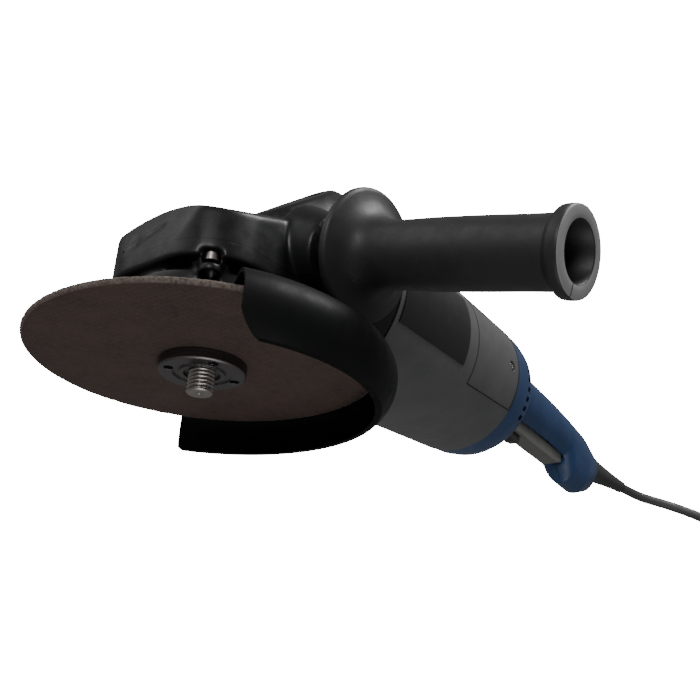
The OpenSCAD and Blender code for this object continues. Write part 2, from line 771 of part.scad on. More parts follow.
// Collar that closes the motor housing's back, with its ring of air inlets
module rear_collar() {
    color([0.16, 0.26, 0.42]) difference() {
        motor_turned([[0, motor_x1], [51.4, motor_x1], [50.8, 266], [49, 275], [46, 281],
            [41, collar_x1], [0, collar_x1]]);
        motor_turned([[0, motor_x1 - 1], [48.4, motor_x1 - 1], [47.8, 265], [46.3, 273], [44, 277.5],
            [39, 280.5], [0, 280.5]]);
        for (m = [0, 1]) mirror([0, m, 0]) for (i = [-6 : 4])
            along_motor(268.6) rotate([0, 0, -90 + 8.4 * i]) translate([44, -1.9, 0]) cube([9, 3.8, 6]);
        // Way through to the handle
        translate([270, -14, 96]) cube([40, 28, 26]);
    }
}

// Half of the rear handle on the -Y side
module handle_half() {
    difference() {
        union() {
            difference() {
                handle_outer();
                handle_inner();
            }
            for (p = handle_posts) translate([p[0], 0, p[1]]) rotate([90, 0, 0]) cylinder(r = 4.2, h = p[2]);
            translate(trigger_pivot - [0, trigger_w / 2 + 0.6, 0]) rotate([90, 0, 0]) cylinder(r = 5, h = 10);
        }
        // Slot for the trigger
        translate([collar_x1 + 6, -trigger_w / 2 - 0.6, 50])
            cube([421 - collar_x1 - 6, trigger_w + 1.2, 45]);
        // Seat of the strain relief
        translate([relief_seat_x, 0, relief_from[2]]) rotate([0, 90, 0]) cylinder(r = 11.1, h = 30);
        translate([relief_seat_x + 3, 0, relief_from[2]]) rotate([0, 90, 0]) cylinder(r = 12.6, h = 5.2);
        handle_screw_places() cylinder(r = 1.6, h = 24, center = true, $fn = 24);
        translate(trigger_pivot) rotate([90, 0, 0]) cylinder(r = 2.02, h = 31, center = true, $fn = 48);
        translate([200, -0.05, -50]) cube([400, 200, 300]);
    }
}

// The screw places of the rear handle, their z axis pointing to -Y
module handle_screw_places() {
    for (p = handle_posts) translate([p[0], 0, p[1]]) rotate([90, 0, 0]) children();
}

module rear_handle_left() {
    color([0.16, 0.26, 0.42]) handle_half();
}

module rear_handle_right() {
    color([0.16, 0.26, 0.42]) mirror([0, 1, 0]) handle_half();
}

module handle_screws() {
    color("silver") handle_screw_places() translate([0, 0, -9]) cylinder(r = 1.5, h = 18, $fn = 24);
}

module trigger_switch() {
    color("black") difference() {
        translate([332, -10, 93.5]) cube([44, 20, 18]);
        translate([340, -3, 92]) cube([4, 6, 6]);
    }
}

module suppressor() {
    color("goldenrod") translate([386, -6, 94]) cube([22, 12, 10]);
}

module trigger() {
    color([0.28, 0.27, 0.26]) translate(catch_pivot) rotate([90, 0, 0])
        cylinder(r = 1.5, h = 9, center = true, $fn = 32);
    color([0.28, 0.27, 0.26]) difference() {
        translate([0, trigger_w / 2, 0]) rotate([90, 0, 0]) linear_extrude(height = trigger_w)
            polygon([[301, 92], [301, 82], [309, 78], [332, 74.6], [358, 71.6], [408, 67.6], [417, 70],
                [418, 76], [418, 79.5], [392, 81], [345, 87], [311, 92]]);
        translate(trigger_pivot) rotate([90, 0, 0]) cylinder(r = 2.05, h = 60, center = true, $fn = 48);
        translate([319, -4.1, 60]) cube([28, 8.2, 40]);
    }
}

module trigger_pin() {
    color("silver") translate(trigger_pivot) rotate([90, 0, 0])
        cylinder(r = 2, h = 30, center = true, $fn = 48);
}

module lock_off_catch() {
    color([0.1, 0.1, 0.1]) difference() {
        translate([0, 4, 0]) rotate([90, 0, 0]) linear_extrude(height = 8)
            polygon([[320.5, 80], [320.5, 72], [334, 66.5], [343, 67], [344.5, 71], [334, 75], [332, 80]]);
        translate(catch_pivot) rotate([90, 0, 0]) cylinder(r = 1.55, h = 60, center = true, $fn = 32);
    }
}

module cord_clamp() {
    color("black") difference() {
        translate([449, -11, 92]) cube([14, 22, 4]);
        for (s = [-1, 1]) translate([456, s * 8, 80]) cylinder(r = 1.55, h = 30, $fn = 24);
    }
}

module clamp_screws() {
    color("silver") for (s = [-1, 1]) translate([456, s * 8, 97.4]) screw(2.6, 1.4, 1.5, 8);
}

// Tapered strain relief, its flange held in the handle's back
module strain_relief() {
    v = relief_tip - relief_from;
    color([0.13, 0.13, 0.13]) difference() {
        union() {
            translate([relief_seat_x + 3.4, 0, relief_from[2]]) rotate([0, 90, 0])
                cylinder(r = 12.4, h = 4.6);
            translate([relief_seat_x + 7.9, 0, relief_from[2]]) rotate([0, 90, 0])
                cylinder(r = 11, h = 12);
            translate(relief_from - 3 * unit(v)) rotate([0, acos(v[2] / norm(v)), atan2(v[1], v[0])])
                cylinder(r1 = 10.9, r2 = 5.8, h = norm(v) + 3);
        }
        translate([relief_seat_x - 8, 0, relief_from[2]]) rotate([0, 90, 0]) cylinder(r = 4.6, h = 16);
    }
}

module cord() {
    color([0.16, 0.16, 0.16]) sweep(cord_route, cord_d / 2);
}

module cord_coil() {
    span = coil_turns * layer_step / 2;
    ri = coil_mean_r - span - cord_d / 2;
    ro = coil_mean_r + span + cord_d / 2;
    top = floor_z + layer_step + cord_d;
    color([0.16, 0.16, 0.16]) translate([coil_at[0], coil_at[1], 0]) rotate_extrude()
        polygon([[ri, floor_z + 2], [ri + 2, floor_z], [ro - 2, floor_z], [ro, floor_z + 2],
            [ro, top - 2], [ro - 2, top], [ri + 2, top], [ri, top - 2]]);
}

module cord_tail() {
    color([0.16, 0.16, 0.16]) sweep(tail_route, cord_d / 2);
}

// Flat two-pin plug, its pins pointing to -X
module plug() {
    color([0.12, 0.12, 0.12]) difference() {
        translate(plug_at) rotate([0, -90, 0]) {
            cylinder(r1 = 6, r2 = 8, h = 20);
            hull() for (s = [-1, 1]) translate([0, s * 5, 18]) cylinder(r = 11, h = 6, $fn = 32);
            hull() for (s = [-1, 1]) translate([0, s * 5.5, 24]) cylinder(r = 13, h = 24, $fn = 32);
        }
        plug_pin_places() translate([0, 0, -6.2]) cylinder(r = 2.25, h = 8);
    }
}

// The places of the plug's two pins, 0.2 mm outside its face
module plug_pin_places() {
    for (s = [-1, 1]) translate(plug_at + [-48.2, 9.5 * s, 0]) rotate([0, -90, 0]) children();
}

module plug_pins() {
    color("silver") plug_pin_places() {
        cylinder(r = 2.4, h = 19);
        translate([0, 0, -6]) cylinder(r = 2.2, h = 7);
    }
}

gear_housing();
bearing_flange();
flange_screws();
felt_seal();
spindle_bearing();
needle_bearing();
case_screws();
spindle_lock_button();
spindle_lock_spring();
spindle();
crown_gear();
crown_key();
inner_flange();
grinding_disc();
locking_nut();
disc_guard();
guard_band();
guard_screw();
guard_nut();
side_handle_grip();
side_handle_stud();
motor_housing();
fan_baffle();
stator_core();
stator_coils();
front_bearing();
rear_bearing();
rear_bearing_sleeve();
brush_holders();
carbon_brushes();
brush_springs();
brush_cover_left();
brush_cover_right();
brush_cover_screws();
side_plate_left();
side_plate_right();
armature_shaft();
drive_pinion();
pinion_nut();
armature_core();
armature_windings();
commutator();
cooling_fan();
rear_collar();
rear_handle_left();
rear_handle_right();
handle_screws();
trigger_switch();
suppressor();
trigger();
trigger_pin();
lock_off_catch();
cord_clamp();
clamp_screws();
strain_relief();
cord();
cord_coil();
cord_tail();
plug();
plug_pins();
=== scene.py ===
"""Looks of the large two-hand angle grinder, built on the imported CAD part, in metres."""

import json
import math

import bmesh
import bpy
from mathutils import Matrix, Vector, noise


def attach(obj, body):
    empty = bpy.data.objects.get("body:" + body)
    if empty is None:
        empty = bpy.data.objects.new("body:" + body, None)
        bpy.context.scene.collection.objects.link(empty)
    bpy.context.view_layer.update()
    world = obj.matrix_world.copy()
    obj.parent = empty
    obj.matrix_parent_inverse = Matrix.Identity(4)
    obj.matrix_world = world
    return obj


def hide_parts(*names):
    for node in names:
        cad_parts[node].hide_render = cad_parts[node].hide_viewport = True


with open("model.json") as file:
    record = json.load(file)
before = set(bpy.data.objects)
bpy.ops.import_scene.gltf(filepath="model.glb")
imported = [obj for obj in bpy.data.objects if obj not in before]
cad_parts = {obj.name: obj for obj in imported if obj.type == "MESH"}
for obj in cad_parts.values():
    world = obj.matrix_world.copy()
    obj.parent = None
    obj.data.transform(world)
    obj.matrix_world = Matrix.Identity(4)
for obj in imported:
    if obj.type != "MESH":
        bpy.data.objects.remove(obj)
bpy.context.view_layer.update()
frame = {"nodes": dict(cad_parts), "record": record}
nodes = frame["nodes"]
MM = 0.001

# ---------------------------------------------------------------- materials

EDGE_R = 0.0006
BEVEL_SAMPLES = 4

# Gear head: the parting line's band and its end, then the arrow on the nose. ARROW_AT is its (y, z),
# and the other arrow values are measured along it or across it
PARTING_Z = (0.0556, 0.0563)
PARTING_END_X = 0.04
NOSE_X = -0.034
ARROW_AT = (0.006, 0.067)
ARROW_LEAN = math.radians(15)
ARROW_SHAFT = (-0.013, 0.006)
ARROW_SHAFT_HALF = 0.0014
ARROW_POINT = (0.005, 0.014)
ARROW_TAPER = 0.52

# Disc: the glass net's pitch, and where the bare rim starts
NET_PITCH = 0.0031
RIM_FROM_R = 0.0886

# Axes of the side handle and the motor, the nick in the side handle's end, and the joint line
# between the rear handle's halves
SIDE_LEAN = math.radians(15.4)
SIDE_X = 29 * MM
NICK_BELOW_Z = 0.03
MOTOR_AXIS = 88
MOTOR_Z = MOTOR_AXIS * MM
HANDLE_FROM_X = 0.286
JOINT_HALF = 0.0002


class Graph:
    """Short calls for building a procedural material."""

    def __init__(self, name, color, rough, metallic=0.0):
        self.material = bpy.data.materials.new(name)
        self.material.use_nodes = True
        self.tree = self.material.node_tree
        self.shader = self.tree.nodes["Principled BSDF"]
        self.set("Base Color", (*color, 1))
        self.set("Roughness", rough)
        self.set("Metallic", metallic)
        self.place = self.node("ShaderNodeTexCoord").outputs["Object"]
        self.normal = self.rounded_normal()
        self.feed(self.shader.inputs["Normal"], self.normal)

    def node(self, kind, **inputs):
        made = self.tree.nodes.new(kind)
        for key, value in inputs.items():
            self.feed(made.inputs[key.replace("_", " ")], value)
        return made

    def feed(self, socket, value):
        if isinstance(value, bpy.types.NodeSocket):
            self.tree.links.new(value, socket)
        else:
            socket.default_value = value

    def rounded_normal(self):
        """The surface normal as if every edge had a small radius."""
        made = self.node("ShaderNodeBevel", Radius=EDGE_R)
        made.samples = BEVEL_SAMPLES
        return made.outputs["Normal"]

    def set(self, key, value):
        self.feed(self.shader.inputs[key], value)

    def noise(self, scale, detail=3.0, rough=0.5, place=None):
        made = self.node("ShaderNodeTexNoise", Vector=place or self.place)
        made.inputs["Scale"].default_value = scale
        made.inputs["Detail"].default_value = detail
        made.inputs["Roughness"].default_value = rough
        return made.outputs["Fac"]

    def cells(self, scale):
        made = self.node("ShaderNodeTexVoronoi", Vector=self.place)
        made.inputs["Scale"].default_value = scale
        return made.outputs["Distance"]

    def ramp(self, value, stops):
        made = self.node("ShaderNodeValToRGB", Fac=value)
        band = made.color_ramp
        while len(band.elements) < len(stops):
            band.elements.new(0.5)
        for spot, (at, color) in zip(band.elements, stops):
            spot.position = at
            spot.color = (*color, 1) if hasattr(color, "__len__") else (color, color, color, 1)
        return made.outputs["Color"]

    def math(self, op, a, b=0.0, clamp=False):
        made = self.node("ShaderNodeMath")
        made.operation = op
        made.use_clamp = clamp
        self.feed(made.inputs[0], a)
        self.feed(made.inputs[1], b)
        return made.outputs["Value"]

    def axes(self):
        made = self.node("ShaderNodeSeparateXYZ", Vector=self.place)
        return made.outputs["X"], made.outputs["Y"], made.outputs["Z"]

    def within(self, value, low, high):
        """1 where the value lies between low and high."""
        return self.math("MULTIPLY", self.math("GREATER_THAN", value, low),
                         self.math("LESS_THAN", value, high))

    def mix(self, mask, a, b):
        made = self.tree.nodes.new("ShaderNodeMix")
        made.data_type = "RGBA"
        for socket, value in zip((made.inputs[0], made.inputs[6], made.inputs[7]), (mask, a, b)):
            if hasattr(value, "__len__") and len(value) == 3:
                value = (*value, 1)
            self.feed(socket, value)
        return made.outputs[2]

    def stretched(self, scale):
        made = self.node("ShaderNodeMapping", Vector=self.place)
        made.inputs["Scale"].default_value = scale
        return made.outputs["Vector"]

    def bump(self, height, strength, distance=0.0003):
        made = self.node("ShaderNodeBump", Height=height, Normal=self.normal)
        made.inputs["Strength"].default_value = strength
        made.inputs["Distance"].default_value = distance
        self.normal = made.outputs["Normal"]
        self.feed(self.shader.inputs["Normal"], self.normal)

    def worn_and_highlit(self, color, light):
        """The colour, lighter along the edges in a patchy way: rubbed wear and a painted edge highlight.
        """
        true = self.node("ShaderNodeNewGeometry").outputs["Normal"]
        rounded = self.rounded_normal()
        dot = self.node("ShaderNodeVectorMath")
        dot.operation = "DOT_PRODUCT"
        self.feed(dot.inputs[0], true)
        self.feed(dot.inputs[1], rounded)
        edge = self.math("MULTIPLY", self.math("SUBTRACT", 0.97, dot.outputs["Value"], True), 3.0, True)
        patchy = self.ramp(self.noise(220, 4), [(0.4, 0.0), (0.65, 0.8)])
        return self.mix(self.math("MULTIPLY", edge, patchy), color, light)


def tones(color, spread):
    return [c * (1 - spread) for c in color], [c * (1 + spread) for c in color]


def coat(name, color, rough, grain, strength, vary=0.12, cellular=False, gloss=0.5):
    """A moulded or painted surface, with its grain, patchy gloss and edges lightened as rubbed wear and a
    painted edge highlight.
    """
    g = Graph(name, color, rough)
    g.set("Specular IOR Level", gloss)
    dark, light = tones(color, vary)
    shade = g.ramp(g.noise(50, 5), [(0.3, dark), (0.7, light)])
    # Lighter edges: rubbed wear and a painted edge highlight.
    g.color = g.worn_and_highlit(shade, [min(1, c * 2.2 + 0.01) for c in color])
    g.set("Base Color", g.color)
    g.set("Roughness", g.ramp(g.noise(140, 4), [(0.3, rough - 0.06), (0.7, rough + 0.07)]))
    g.bump(g.cells(grain) if cellular else g.noise(grain, 4), strength, 0.0001)
    return g


def plastic(name, color, rough=0.5, grain=1900, strength=0.3, vary=0.1, gloss=0.5):
    return coat(name, color, rough, grain, strength, vary, True, gloss).material


def painted(name, color, rough=0.4, grain=900, strength=0.15, vary=0.15, gloss=0.5):
    return coat(name, color, rough, grain, strength, vary, gloss=gloss).material


def head_paint(name, color):
    """Satin black paint, with the head's parting line and the arrow on its nose pressed in and darkened:
    a dark joint along the parting line, painted shade in the arrow's recess.
    """
    g = coat(name, color, 0.36, 1100, 0.2, gloss=0.27)
    x, y, z = g.axes()
    seam = g.math("MULTIPLY", g.within(z, *PARTING_Z), g.math("LESS_THAN", x, PARTING_END_X))
    across = g.math("SUBTRACT", y, ARROW_AT[0])
    above = g.math("SUBTRACT", z, ARROW_AT[1])
    lean_cos, lean_sin = math.cos(ARROW_LEAN), math.sin(ARROW_LEAN)
    along = g.math("SUBTRACT", g.math("MULTIPLY", across, lean_cos), g.math("MULTIPLY", above, lean_sin))
    off = g.math("ABSOLUTE", g.math("ADD", g.math("MULTIPLY", across, lean_sin),
                                    g.math("MULTIPLY", above, lean_cos)))
    shaft = g.math("MULTIPLY", g.within(along, *ARROW_SHAFT),
                   g.math("LESS_THAN", off, ARROW_SHAFT_HALF))
    narrowing = g.math("MULTIPLY", g.math("SUBTRACT", ARROW_POINT[1], along), ARROW_TAPER)
    point = g.math("MULTIPLY", g.within(along, *ARROW_POINT), g.math("LESS_THAN", off, narrowing))
    arrow = g.math("MULTIPLY", g.math("MAXIMUM", shaft, point), g.math("LESS_THAN", x, NOSE_X))
    pressed = g.math("MAXIMUM", seam, arrow)
    # Darker along the parting line, a dark joint, and in the arrow, painted shade in its recess.
    g.set("Base Color", g.mix(pressed, g.color, [c * 0.3 for c in color]))
    g.bump(g.math("SUBTRACT", 1.0, pressed), 0.8, 0.0008)
    return g.material


def steel(name, color, rough=0.3, stretch=(60, 60, 900), strength=0.12):
    g = Graph(name, color, rough, 1.0)
    streaks = g.noise(1.0, 5, 0.6, g.stretched(stretch))
    shade = g.ramp(streaks, [(0.3, [c * 0.8 for c in color]), (0.7, color)])
    # Lighter edges: rubbed wear and a painted edge highlight.
    g.set("Base Color", g.worn_and_highlit(shade, [min(1, c * 1.8 + 0.05) for c in color]))
    g.set("Roughness", g.ramp(streaks, [(0.3, rough - 0.08), (0.7, rough + 0.12)]))
    g.bump(streaks, strength, 0.0001)
    return g.material


def abrasive(name, color):
    """Resin-bonded grit under a net of glass fibre, with a bare speckled rim."""
    g = Graph(name, color, 0.8)
    x, y, z = g.axes()
    sway = g.math("MULTIPLY", g.noise(90, 2), 0.0012)
    net = 0.0
    for axis in (x, y):
        wave = g.math("FRACT", g.math("DIVIDE", g.math("ADD", axis, sway), NET_PITCH))
        strand = g.math("LESS_THAN", g.math("ABSOLUTE", g.math("SUBTRACT", wave, 0.5)), 0.2)
        net = g.math("MAXIMUM", net, strand)
    broken = g.math("MULTIPLY", net, g.ramp(g.noise(260, 3), [(0.35, 0.0), (0.7, 0.6)]))
    dark, light = tones(color, 0.35)
    ground = g.ramp(g.noise(55, 6, 0.65), [(0.25, dark), (0.75, light)])
    netted = g.mix(broken, ground, [c * 1.7 for c in color])
    grit = g.math("LESS_THAN", g.cells(1500), 0.16)
    speckled = g.mix(grit, netted, [c * 3.2 for c in color])
    radius = g.math("SQRT", g.math("ADD", g.math("MULTIPLY", x, x), g.math("MULTIPLY", y, y)))
    rim = g.math("MULTIPLY", g.math("GREATER_THAN", radius, RIM_FROM_R),
                 g.ramp(g.noise(700, 3), [(0.35, 0.15), (0.6, 1.0)]))
    g.set("Base Color", g.mix(rim, speckled, (0.13, 0.105, 0.09)))
    g.bump(g.math("ADD", broken, g.noise(2400, 2)), 0.45, 0.0002)
    return g.material


def painted_light_end_face(name, color):
    """The side handle's end face, the grip's plastic in a much lighter grey as painted light on that
    face, with the small nick at its lowest point.
    """
    g = coat(name, color, 0.55, 1900, 0.3, cellular=True)
    x, y, z = g.axes()
    nick_shade = g.math("MULTIPLY", g.within(x, SIDE_X - 0.0003, SIDE_X + 0.0005),
                  g.math("LESS_THAN", z, NICK_BELOW_Z))
    # The nick is painted near black: painted shade in place of the cut.
    g.set("Base Color", g.mix(nick_shade, g.color, (0.01, 0.01, 0.01)))
    return g.material


def jointed(name, color):
    """Blue plastic whose two halves meet in a fine line at the middle."""
    g = coat(name, color, 0.42, 1900, 0.3, cellular=True)
    x, y, z = g.axes()
    seam = g.math("MULTIPLY", g.within(y, -JOINT_HALF, JOINT_HALF),
                  g.math("GREATER_THAN", x, HANDLE_FROM_X))
    g.set("Base Color", g.mix(seam, g.color, [c * 0.25 for c in color]))
    g.bump(g.math("SUBTRACT", 1.0, seam), 0.7, 0.0005)
    return g.material


MATERIALS = {
    "head_black": head_paint("head_black", (0.007, 0.007, 0.0075)),
    "alloy_grey": painted("alloy_grey", (0.008, 0.008, 0.0085), 0.45),
    "steel": steel("steel", (0.42, 0.38, 0.36), 0.32),
    "felt": plastic("felt", (0.3, 0.28, 0.26), 0.95, 1500, 0.8),
    "black_plastic": plastic("black_plastic", (0.016, 0.016, 0.017), 0.45),
    "grey_plastic": plastic("grey_plastic", (0.076, 0.076, 0.077), 0.5),
    "dark_steel": steel("dark_steel", (0.16, 0.15, 0.15), 0.38),
    "guard_black": painted("guard_black", (0.006, 0.006, 0.0065), 0.5, 700, 0.2, gloss=0.09),
    "disc_brown": abrasive("disc_brown", (0.046, 0.028, 0.023)),
    "handle_grey": plastic("handle_grey", (0.015, 0.015, 0.0155), 0.5, gloss=0.38),
    "laminations": steel("laminations", (0.3, 0.3, 0.31), 0.45, (1500, 20, 20)),
    "copper": plastic("copper", (0.45, 0.17, 0.06), 0.3, 900, 0.6),
    "brass": steel("brass", (0.75, 0.55, 0.25), 0.3),
    "carbon": plastic("carbon", (0.02, 0.02, 0.02), 0.7),
    "rubber": plastic("rubber", (0.035, 0.035, 0.036), 0.62),
    "plate_black": plastic("plate_black", (0.006, 0.006, 0.0065), 0.4, 1200, 0.1),
    "blue_plastic": jointed("blue_plastic", (0.013, 0.039, 0.11)),
    "trigger_grey": plastic("trigger_grey", (0.108, 0.107, 0.1), 0.5),
    "cord_grey": plastic("cord_grey", (0.045, 0.045, 0.047), 0.55, 1500, 0.2),
    "plug_black": plastic("plug_black", (0.02, 0.02, 0.02), 0.5),
    "suppressor_yellow": plastic("suppressor_yellow", (0.7, 0.48, 0.06), 0.3),
}
# A much lighter grey than the grip's for the end face: painted light.
PAINTED_LIGHT_END_FACE = painted_light_end_face("handle_end_face_painted_light", (0.22, 0.22, 0.22))
SEAM = plastic("seam_shadow", (0.004, 0.004, 0.004), 0.8)

slot_of = {part["node"]: part["material_slot"] for part in frame["record"]["subparts"]}
for name, obj in nodes.items():
    obj.data.materials.clear()
    obj.data.materials.append(MATERIALS[slot_of[name]])

# ---------------------------------------------------------------- pieces

SHALLOW = math.radians(32)


def add_piece(name, mesh, slot, body, *replaced):
    """A mesh piece that rides a body, takes its finish from a slot and replaces CAD nodes."""
    made = bpy.data.objects.new(name, mesh)
    bpy.context.collection.objects.link(made)
    mesh.materials.clear()
    mesh.materials.append(MATERIALS[slot])
    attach(made, body)
    if replaced:
        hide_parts(*replaced)
    return made


def mesh_from(name, verts, faces):
    mesh = bpy.data.meshes.new(name)
    mesh.from_pydata([tuple(v) for v in verts], [], faces)
    mesh.validate()
    mesh.shade_smooth()
    return mesh


def copied(name, sources):
    """One mesh with the CAD meshes of the named nodes, in the shared frame."""
    bpy.context.view_layer.update()
    joined = bmesh.new()
    for source in sources:
        part = nodes[source].data.copy()
        part.transform(nodes[source].matrix_world)
        joined.from_mesh(part)
        bpy.data.meshes.remove(part)
    bmesh.ops.remove_doubles(joined, verts=joined.verts, dist=1e-6)
    mesh = bpy.data.meshes.new(name)
    joined.to_mesh(mesh)
    joined.free()
    if "custom_normal" in mesh.attributes:
        mesh.attributes.remove(mesh.attributes["custom_normal"])
    mesh.shade_smooth()
    return mesh


def evened(name, node):
    """The CAD mesh with its shallow bands shaded as one curve."""
    mesh = copied(name, [node])
    mesh.set_sharp_from_angle(angle=SHALLOW)
    return mesh


def softened(name, sources, voxel, rounds, keep):
    """The CAD meshes melted together and rounded off, with a share of the faces kept."""
    made = bpy.data.objects.new(name + "_raw", copied(name + "_raw", sources))
    bpy.context.collection.objects.link(made)
    remesh = made.modifiers.new("remesh", "REMESH")
    remesh.mode = "VOXEL"
    remesh.voxel_size = voxel
    smooth = made.modifiers.new("smooth", "SMOOTH")
    smooth.factor = 0.5
    smooth.iterations = rounds
    made.modifiers.new("thin", "DECIMATE").ratio = keep
    ready = made.evaluated_get(bpy.context.evaluated_depsgraph_get())
    mesh = bpy.data.meshes.new_from_object(ready)
    mesh.name = name
    bpy.data.objects.remove(made)
    mesh.shade_smooth()
    return mesh


def smooth_line(points, step):
    """A Catmull-Rom curve through the points, sampled about every step."""
    line = []
    ends = [2 * points[0] - points[1], *points, 2 * points[-1] - points[-2]]
    for a, b, c, d in zip(ends, ends[1:], ends[2:], ends[3:]):
        count = max(1, round((c - b).length / step))
        for k in range(count):
            t = k / count
            line.append(0.5 * ((2 * b) + (c - a) * t + (2 * a - 5 * b + 4 * c - d) * t * t
                               + (3 * b - a - 3 * c + d) * t ** 3))
    line.append(points[-1])
    return line


def ring_faces(rings, sides):
    """The faces between one ring of vertices and the next."""
    faces = []
    for i in range(rings - 1):
        for k in range(sides):
            n = (k + 1) % sides
            faces.append((i * sides + k, i * sides + n, (i + 1) * sides + n, (i + 1) * sides + k))
    return faces


def turned(name, profile, sides, place, radius_at=None):
    """A body of revolution. The profile holds (radius, height); place puts it in the frame."""
    verts = []
    for radius, height in profile:
        for k in range(sides):
            a = 2 * math.pi * k / sides
            r = radius_at(radius, height, a) if radius_at else radius
            verts.append(place(r * math.cos(a), r * math.sin(a), height))
    return mesh_from(name, verts, ring_faces(len(profile), sides))


def tube(name, line, radii, sides):
    """A round tube along a line, capped at both ends."""
    verts = []
    side = None
    for i, at in enumerate(line):
        ahead = (line[min(i + 1, len(line) - 1)] - line[max(i - 1, 0)]).normalized()
        if side is None:
            side = ahead.cross(Vector((0, 0, 1))).normalized()
        side = (side - ahead * side.dot(ahead)).normalized()
        up = ahead.cross(side)
        for k in range(sides):
            a = 2 * math.pi * k / sides
            verts.append(at + radii[i] * (math.cos(a) * side + math.sin(a) * up))
    faces = ring_faces(len(line), sides)
    faces.append(tuple(reversed(range(sides))))
    last = (len(line) - 1) * sides
    faces.append(tuple(range(last, last + sides)))
    return mesh_from(name, verts, faces)


# ---------------------------------------------------------------- cord

CORD_D = 0.009
FLOOR_Z = -0.0085
# The free stretch from the strain relief to the coil, and the tail from the coil to the plug
ROUTE = [Vector(p) * MM for p in (
    (544, -10.5, 78.7), (550, -12, 78), (562, -15, 76.5), (574, -21, 74), (584, -31, 71),
    (592, -43, 67), (597, -56, 61.5), (600, -71, 54), (601, -87, 45), (601, -103, 35),
    (599, -119, 25), (596, -135, 15.5), (592, -151, 7.5), (587, -167, 1.5), (581, -183, -2.5),
    (576, -194, -4), (572, -204, -4),
)]
TAIL = [Vector(p) * MM for p in (
    (508.5, -244.2, 5), (496, -244.6, 5), (484, -245, 4.6), (470, -245.2, 2.6), (456, -245.2, -0.6),
    (442, -245.2, -3.2), (428, -245.1, -4), (414, -245, -3.2), (402, -245, -0.2), (392, -245, 2.8),
    (382, -245, 4.3), (372.1, -245, 4.5),
)]
COIL_AT = Vector((508.5, -178.5, 0)) * MM
# Turns in the lower layer, and in the upper one, which ends where the tail starts
LAYER_TURNS = (3.25, 2.939)
OUTER_TURN_R = 0.0685
STEPS_A_TURN = 36


def coil_line():
    """Two flat spirals on each other: inwards on the floor, then outwards on top."""
    line = []
    start = math.atan2(ROUTE[-1].y - COIL_AT.y, ROUTE[-1].x - COIL_AT.x)
    inner_r = OUTER_TURN_R - CORD_D * LAYER_TURNS[0]
    for layer, turns in enumerate(LAYER_TURNS):
        steps = round(turns * STEPS_A_TURN)
        for i in range(layer, steps + 1):
            turn = turns * i / steps
            radius = inner_r + CORD_D * turn if layer else OUTER_TURN_R - CORD_D * turn
            angle = start - 2 * math.pi * (turn + layer * LAYER_TURNS[0])
            rise = CORD_D * (1 if layer else max(0, turn - turns + 1))
            height = FLOOR_Z + CORD_D / 2 + rise
            line.append(COIL_AT + Vector((radius * math.cos(angle), radius * math.sin(angle), height)))
    return line


cord_path = smooth_line([*ROUTE[:-1], *coil_line(), *TAIL[1:]], 0.004)
cord_mesh = tube("mains_cord", cord_path, [CORD_D / 2] * len(cord_path), 16)
mains_cord = add_piece("mains_cord", cord_mesh, "cord_grey", "housing", "cord", "cord_coil", "cord_tail")

# Tapered strain relief, hollowed a little towards the cord
RELIEF_FROM = Vector((482, 0, 84.5)) * MM
RELIEF_BASE_R, RELIEF_TIP_R = 0.0122, 0.0057
RELIEF_PLAIN, RELIEF_HOLLOW = 0.12, 1.35
relief_line = smooth_line([RELIEF_FROM, Vector((498, -0.6, 84.3)) * MM, Vector((520, -5, 82)) * MM,
                           ROUTE[0]], 0.002)
relief_radii = []
for i in range(len(relief_line)):
    left = 1 - max(0, i / (len(relief_line) - 1) - RELIEF_PLAIN) / (1 - RELIEF_PLAIN)
    relief_radii.append(RELIEF_TIP_R + (RELIEF_BASE_R - RELIEF_TIP_R) * left ** RELIEF_HOLLOW)
add_piece("relief_sleeve", tube("relief_sleeve", relief_line, relief_radii, 32), "rubber", "housing",
          "strain_relief")

# ---------------------------------------------------------------- gear head, guard and disc

head_mesh = softened("gear_head_shell", ["gear_housing", "bearing_flange"], voxel=0.0011, rounds=16,
                     keep=0.4)
add_piece("gear_head_shell", head_mesh, "head_black", "housing", "gear_housing", "bearing_flange")
add_piece("guard_shell", evened("guard_shell", "disc_guard"), "guard_black", "guard", "disc_guard")

THREAD_R, THREAD_PITCH, THREAD_DEPTH = 0.007, 0.002, 0.0011
THREAD_FROM, THREAD_TO = -0.0036, 0.0215
THREAD_STEP = 0.00025


def threaded(radius, height, angle):
    """The spindle's radius at an angle, cut back where the thread's groove runs."""
    if not THREAD_FROM < height < THREAD_TO or radius < 0.0065:
        return radius
    phase = (height / THREAD_PITCH - angle / (2 * math.pi)) % 1
    return radius - THREAD_DEPTH * (1 - abs(2 * phase - 1))


def spindle_profile():
    """(radius, height) points from the threaded tip up to the needle bearing."""
    ends = [(0.0003, -0.0031), (0.0016, -0.0044), (0.0054, -0.0045), (0.0061, -0.0044), (0.0066, -0.0038)]
    steps = round((THREAD_TO - THREAD_FROM) / THREAD_STEP)
    thread = [(THREAD_R, THREAD_FROM + (THREAD_TO - THREAD_FROM) * i / steps) for i in range(steps + 1)]
    shaft = [(0.0085, 0.022), (0.0085, 0.0605), (0.0095, 0.0606), (0.0095, 0.062), (0.009, 0.0621),
             (0.009, 0.076), (0.005, 0.0761), (0.005, 0.0838), (0.0003, 0.084)]
    return ends + thread + shaft


def upright(x, y, z):
    return x, y, z


spindle_mesh = turned("threaded_spindle", spindle_profile(), 64, upright, threaded)
spindle_mesh.set_sharp_from_angle(angle=math.radians(50))
add_piece("threaded_spindle", spindle_mesh, "steel", "spindle", "spindle")

DISC_R, DISC_BORE_R, DISC_Z, DISC_T = 0.09, 0.0111, 0.012, 0.003
CHIP_DEPTH, FRAY_DEPTH = 0.0009, 0.0003


